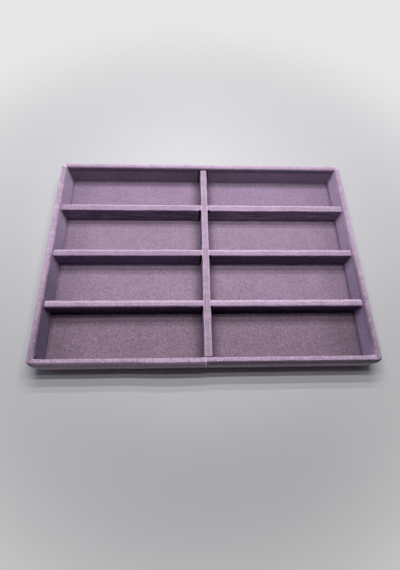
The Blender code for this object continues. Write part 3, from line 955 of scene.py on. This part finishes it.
def frame_marks(spot, facing, place):
    """Painted light and shade on the frame's cover: rims, seam, front, corners, and by the dividers."""
    x, y, z = spot
    across = abs(x)
    high = rise(z, RIM_SPAN)
    toward_front = fall(y, INNER_EDGE_END) * rise(y, INNER_EDGE_START)
    to_side = INNER_HALF_LENGTH - across
    to_front = y + INNER_HALF_DEPTH
    corner = fall(math_value("MAXIMUM", to_side, to_front), CORNER_SPAN) * rise(z, CORNER_HEIGHTS)
    corner = corner * rise(math_value("MINIMUM", to_side, to_front), CORNER_INSIDE)
    under_rim = band(z, *UNDER_RIM_BAND)
    on_side_wall = rise(abs(facing.x), SIDE_FACING) * rise(across, INSIDE_SPAN)
    from_rear = math_value("MODULO", ROW_REAR - y, ROW_PITCH)
    forward = rise(facing.y, FRONT_FACING)
    on_back_wall = forward * rise(y, BACK_FACE_SPAN)
    on_front = rise(y, FRONT_FACE_SPAN)
    outermost = rise(y, OUTER_FACE_SPAN)
    right = rise(x, RIGHT_START)
    seam_lean = spread(z, SEAM_HEIGHTS, (SEAM_LEAN, 0), False)
    return (
        (rise(across, SIDE_TOP_SPAN) * high, spread(y, SIDE_RIM_SPAN, SIDE_RIM_SHADES, False)),
        (band(across, *SIDE_EDGE_BAND) * high * fall(y, SIDE_EDGE_END), SIDE_EDGE_LIFT),
        (band(across, *INNER_EDGE_BAND) * toward_front * high, INNER_EDGE_SHADE),
        (corner, spread(x, CORNERS_APART, CORNER_LIFTS, False)),
        (under_rim * on_side_wall, UNDER_RIM_SHADE),
        (under_rim * on_back_wall, UNDER_BACK_RIM_SHADE),
        (fall(z, CREVICE_SPAN) * rise(facing.x, LEFT_FACING), CREVICE_SHADE),
        (fall(from_rear, SIDE_REAR_SPAN) * on_side_wall, SIDE_REAR_SHADE),
        (on_front * high * rise(facing.y, FRONT_RIM_FACING), FRONT_RIM_LIFT),
        (rise(y, BACK_TOP_SPAN) * high, BACK_RIM_LIFT),
        (outermost, spread(z, OUTER_HEIGHTS, OUTER_SHADES, False)),
        (outermost * right * rise(z, RIGHT_TOP_HEIGHTS), RIGHT_TOP_SHADE),
        (on_back_wall, spread(x, HALVES_SPAN, HALF_SHADES)),
        (band(x - seam_lean, *RIDGE_BAND) * on_front, spread(forward, (0, 1), RIDGE_LIFTS)),
        (band(facing.y, *RIGHT_SHOULDER_BAND) * on_front * right, RIGHT_SHOULDER_SHADE),
        (band(across, *BESIDE_BAND) * on_back_wall * fall(z, BESIDE_TOP), BESIDE_SHADE),
    )


def divider_marks(spot, facing, place):
    """Painted light and shade on the dividers' sleeves: their tops, edges, crossings, creases and feet."""
    x, y, z = spot
    across = abs(x - LONG_SHIFT)
    high = rise(z, DIVIDER_TOP_SPAN)
    cross_top = rise(across, LONG_EDGE_SPAN) * high
    forward = rise(facing.y, DIVIDER_FACING)
    creases = noise_field(place, *CREASES)
    creased = forward * spread(y, REAR_DIVIDER_SPAN, CREASED_SHARES)
    sideways = abs(facing.x)
    from_crossing = math_value("PINGPONG", y, ROW_PITCH / 2)
    crossing = fall(from_crossing, CROSSING_SPAN) * fall(abs(y), LAST_CROSSING_SPAN) * high
    front_edge = band(facing.y, *FRONT_EDGE_BAND) * high
    front_halves = spread(x, HALVES_SPAN, FRONT_EDGE_SHADES)
    return (
        (fall(across, LONG_EDGE_SPAN) * high, spread(y, LONG_LIFT_SPAN, LONG_LIFTS, False)),
        (cross_top, spread(y, CROSS_LIFT_SPAN, CROSS_LIFTS, False)),
        (cross_top, spread(x, HALVES_SPAN, TOP_HALF_SHADES)),
        (band(across, *BESIDE_BAND) * forward, CROSSING_SHADE),
        (fall(z, LOW_HEIGHTS, False) * forward * fall(y, LOW_SHADE_SPAN, False), LOW_SHADE),
        (creased, spread(creases, NOISE_SPAN, CREASE_SHADES, False)),
        (forward * rise(y, REAR_DIVIDER_SPAN), spread(x, HALVES_SPAN, HALF_SHADES)),
        (fall(z, CREVICE_SPAN) * forward, CREVICE_SHADE),
        (front_edge, blended(rise(y, FRONT_EDGE_SPAN), front_halves, FRONT_EDGE_LIFT)),
        (forward * band(y, *MIDDLE_BAND), spread(x, HALVES_SPAN, MIDDLE_HALF_SHADES)),
        (rise(sideways, LONG_SIDE_FACING, False), LONG_SIDE_LIFT),
        (crossing * rise(sideways, CROSSING_FACING), CROSSING_LIFT),
    )


def floor_marks(spot, facing, place):
    """Where shade is painted on the floor: along the side walls, the long divider and the rear of each row.
    """
    x, y, _ = spot
    across = abs(x)
    from_rear = math_value("MODULO", ROW_REAR - y, ROW_PITCH)
    outward = rise(across, SIDE_FLOOR_SPAN)
    return (
        (outward, SIDE_FLOOR_SHADE),
        (outward * fall(y, NEAR_SPAN, False), FRONT_SIDE_SHADE),
        (fall(across, LONG_FLOOR_SPAN), LONG_FLOOR_SHADE),
        (rise(across, SIDE_CREVICE_SPAN), SIDE_CREVICE_SHADE),
        (rise(x, RIGHT_FLOOR_SPAN) * rise(y, RIGHT_FRONT_SPAN), RIGHT_FRONT_SHADE),
        (band(from_rear, *SHADOW_EDGE_BAND) * fall(y, FRONT_ROWS_SPAN), SHADOW_EDGE_SHADE),
        (rise(y, LAST_ROW_SPAN), LAST_ROW_SHADE),
        (fall(from_rear, REAR_FLOOR_SPAN, False), REAR_FLOOR_SHADE),
    )


def velvet_marks(spot, facing, fine_specks, crown):
    """Where all velvet is lighter or darker: its finer specks at the front, and painted highlights and shade
    on its crown, edges and folds.
    """
    _, y, z = spot
    crown_heights, crown_lift = crown
    rear_edge = rise(y, REAR_EDGE_START) * rise(facing.z, REAR_EDGE_TILT)
    rear_edge = rear_edge * spread(y, BACK_EDGE_SPAN, (1, BACK_EDGE_SHARE))
    rear_lift = where(rise(facing.y, REAR_EDGE_FACING, False), spread(y, REAR_EDGE_SPAN, REAR_EDGE_LIFTS))
    return (
        (fall(y, NEAR_SPAN, False), speckled(fine_specks, FINE_SPECK_DEPTH, False)),
        (rise(z, crown_heights), crown_lift),
        (rear_edge, rear_lift * spread(facing.y, REAR_FALL_FACING, (1, REAR_EDGE_FALL), False)),
        (fall(facing.z, FOLD_FACING), FOLD_LIFT),
    )


def velvet(name, colours, crown, turn_shades, seed, marks):
    """Short-pile velvet: speckled nap, brushed streaks and fibre grain, with a painted highlight along its
    folds.

    Colours are those of its front, middle and rear. Crown has the heights between which it turns over
    an edge, and how much lighter it is there as a painted highlight. Then come the tints of painted light
    and shade for faces turned to the front, half turned and fully turned, and for faces turned right and
    left, each at the front and at the rear of the tray. Marks is a function that gives masks of painted
    light and shade and the factors of the colour there.
    """
    material, shader, place = new_material(name, VELVET_SHADER)
    spot = split(place)
    facing = split(Field(place.socket.node.outputs["Normal"]))
    noises = [
        speckled(noise_field(place, size, detail, seed + step, stretch), depth, smooth)
        for size, detail, step, stretch, depth, smooth in VELVET_NOISES
    ]
    fine_specks = noise_field(place, *FINE_SPECKS, seed + 1)
    grain = noise_field(place, *GRAIN, seed + 9)
    all_marks = (*velvet_marks(spot, facing, fine_specks, crown), *marks(spot, facing, place))
    shades = [where(mask, factor) for mask, factor in all_marks]
    factor = math.prod([*noises, speckled(grain, GRAIN_DEPTH), *shades])
    front, middle, rear = colours
    base = mixed(rise(spot.y, FRONT_COLOUR_SPAN), front, middle)
    base = mixed(rise(spot.y, REAR_COLOUR_SPAN), base, rear)
    # Painted shade and light by the way each face is turned, blended from the front to the rear
    forward = rise(facing.y, (0, -1), False)
    rearward = rise(spot.y, TURN_SHADE_SPAN)
    front_turn_shades, side_turn_shades = turn_shades
    ramps = []
    for half, full in front_turn_shades:
        ramps.append(colour_ramp(forward, ((0, WHITE), (HALF_TURNED_SHARE, half), (1, full))))
    base = tint(base, mixed(rearward, *ramps))
    for span, tints in zip(SIDE_TURN_SHADE_SPANS, side_turn_shades):
        sideways = rise(facing.x, span) * fall(spot.z, SIDE_TURN_SHADE_TOP)
        base = tint(base, mixed(sideways, WHITE, mixed(rearward, *tints)))
    feed(scaled(base, factor), shader.inputs["Base Color"])
    add_bump(shader, grain, *GRAIN_RELIEF)
    return material


def felt():
    """Thin pressed felt: clouds, and matted fibres lying both ways."""
    material, shader, place = new_material("underside_felt", FELT_SHADER)
    noises = [noise_field(place, *settings) for settings in FELT_NOISES]
    factor = math.prod(map(speckled, noises, FELT_DEPTHS))
    feed(scaled(FELT_COLOUR, factor), shader.inputs["Base Color"])
    add_bump(shader, noises[1], *FELT_RELIEF)
    return material


def fibreboard():
    """Medium-density fibreboard: dark brown, partly as painted shade where it shows in gaps, with fine
    flecks and slightly fuzzy sawn faces.
    """
    material, shader, place = new_material("fibreboard", BOARD_SHADER)
    flecks = noise_field(place, *BOARD_FLECKS)
    clouds = speckled(noise_field(place, *BOARD_CLOUDS), BOARD_CLOUD_DEPTH)
    factor = spread(flecks, BOARD_FLECK_SPAN, BOARD_FLECK_SHADES) * clouds
    feed(scaled(BOARD_COLOUR, factor), shader.inputs["Base Color"])
    add_bump(shader, flecks, *BOARD_RELIEF)
    return material


def brad_steel():
    """Bright drawn wire with fine scratches and a little tarnish."""
    material, shader, place = new_material("brad_steel", STEEL_SHADER)
    scratches = noise_field(place, *STEEL_SCRATCHES)
    tarnish = spread(noise_field(place, *STEEL_TARNISH), NOISE_SPAN, STEEL_SHADES)
    feed(spread(scratches, NOISE_SPAN, STEEL_ROUGHNESS), shader.inputs["Roughness"])
    feed(scaled(STEEL_COLOUR, tarnish), shader.inputs["Base Color"])
    add_bump(shader, scratches, *STEEL_RELIEF)
    return material


def dress_nodes():
    """The boards, cores and brads keep their CAD shapes and get their finishes."""
    for name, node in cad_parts.items():
        finish = "brad_steel" if "brad" in name else "fibreboard"
        node.data.materials.clear()
        node.data.materials.append(MATERIALS[finish])


def add_lamp(name, place, turn, size, power, colour):
    """A soft rectangular lamp, out of the camera's sight. Turn is about Y, from facing down."""
    light = bpy.data.lights.new(name, "AREA")
    light.shape = "RECTANGLE"
    light.size, light.size_y = size
    light.energy = power
    light.color = colour
    lamp = add_object(name, light)
    lamp.location = place
    lamp.rotation_euler = (0, turn, 0)
    lamp.visible_camera = False


def add_lamps():
    """Four long narrow lamps overhead, parallel to the cross dividers, and a soft panel at each side."""
    for number, (along, power) in enumerate(STRIPS, 1):
        add_lamp(f"strip_lamp_{number}", (0, along, LAMP_HEIGHT), 0, LAMP_SIZE, power, LAMP_COLOUR)
    for side, place, size, power in PANELS:
        turn = math.copysign(math.pi / 2, place[0])
        add_lamp(f"{side}_panel", place, turn, size, power, PANEL_COLOUR)


def show_background(share, plain, backdrop, output):
    """Shows the camera, gloss and glass the backdrop in place of the plain shader, by the share."""
    tree = plain.tree
    paths = tree.nodes.new("ShaderNodeLightPath")
    seen = Field(paths.outputs["Is Camera Ray"])
    for label in ("Is Glossy Ray", "Is Transmission Ray"):
        seen = math_value("MAXIMUM", seen, Field(paths.outputs[label]))
    choice = new_field(tree, "MixShader", {"Fac": seen * share, 1: plain, 2: backdrop})
    feed(choice, output.inputs["Surface"])


def set_world():
    """Weak, even light from all round, and a pale background for the camera, gloss and glass."""
    world = bpy.data.worlds.new("studio")
    world.use_nodes = True
    tree = world.node_tree
    tree.nodes.clear()
    plain = new_field(tree, "Background", {"Color": AMBIENT_COLOUR, "Strength": AMBIENT_STRENGTH})
    backdrop = new_field(tree, "Background", {"Color": BACKGROUND_COLOUR, "Strength": 1.0})
    show_background(1.0, plain, backdrop, tree.nodes.new("ShaderNodeOutputWorld"))
    bpy.context.scene.world = world


def add_stage():
    """The plain pale floor that the tray stands on, which keeps its shadow and fades into the background."""
    mesh = bpy.data.meshes.new("stage_floor")
    half = STAGE_SIZE / 2
    corners = [(-half, -half, 0), (half, -half, 0), (half, half, 0), (-half, half, 0)]
    mesh.from_pydata(corners, [], [(0, 1, 2, 3)])
    stage = add_object("stage_floor", mesh)
    stage.location.z = -STAGE_DROP
    material, shader, place = new_material("stage_floor", STAGE_SHADER)
    tree = material.node_tree
    clouds = speckled(noise_field(place, *STAGE_CLOUDS), STAGE_CLOUD_DEPTH)
    feed(scaled(STAGE_COLOUR, clouds), shader.inputs["Base Color"])
    distance = new_field(tree, "VectorMath", {0: place}, "Value", operation="LENGTH")
    backdrop = new_field(tree, "Emission", {"Color": BACKGROUND_COLOUR})
    plain = Field(shader.outputs["BSDF"])
    show_background(rise(distance, STAGE_FADE), plain, backdrop, tree.nodes["Material Output"])
    mesh.materials.append(material)


def add_camera():
    """The camera that took the view: its long side is the frame's height."""
    data = bpy.data.cameras.new("photo_camera")
    data.sensor_fit = "AUTO"
    data.sensor_width = SENSOR_MM
    data.lens = FOCAL_PX / PHOTO_HEIGHT_PX * SENSOR_MM
    data.clip_start = CLIP_START
    camera = add_object("photo_camera", data)
    camera.location = CAMERA_PLACE
    camera.rotation_euler = [math.radians(angle) for angle in CAMERA_TURN_DEG]
    bpy.context.scene.camera = camera


VELVETS = (
    ("frame_velvet", COVER_COLOURS, COVER_CROWN, COVER_TURN_SHADES, 1.0, frame_marks),
    ("floor_velvet", FLOOR_COLOURS, FLOOR_CROWN, FLOOR_TURN_SHADES, 14.0, floor_marks),
    ("divider_velvet", COVER_COLOURS, DIVIDER_CROWN, DIVIDER_TURN_SHADES, 27.0, divider_marks),
)
MATERIALS = {looks[0]: velvet(*looks) for looks in VELVETS}
MATERIALS.update(underside_felt=felt(), fibreboard=fibreboard(), brad_steel=brad_steel())

dress_nodes()
frame_cover()
floor_sheet()
underside_cloth()
cross_sleeves()
long_sleeve()
add_lamps()
set_world()
add_stage()
add_camera()
bpy.context.scene.view_settings.view_transform = "Standard"
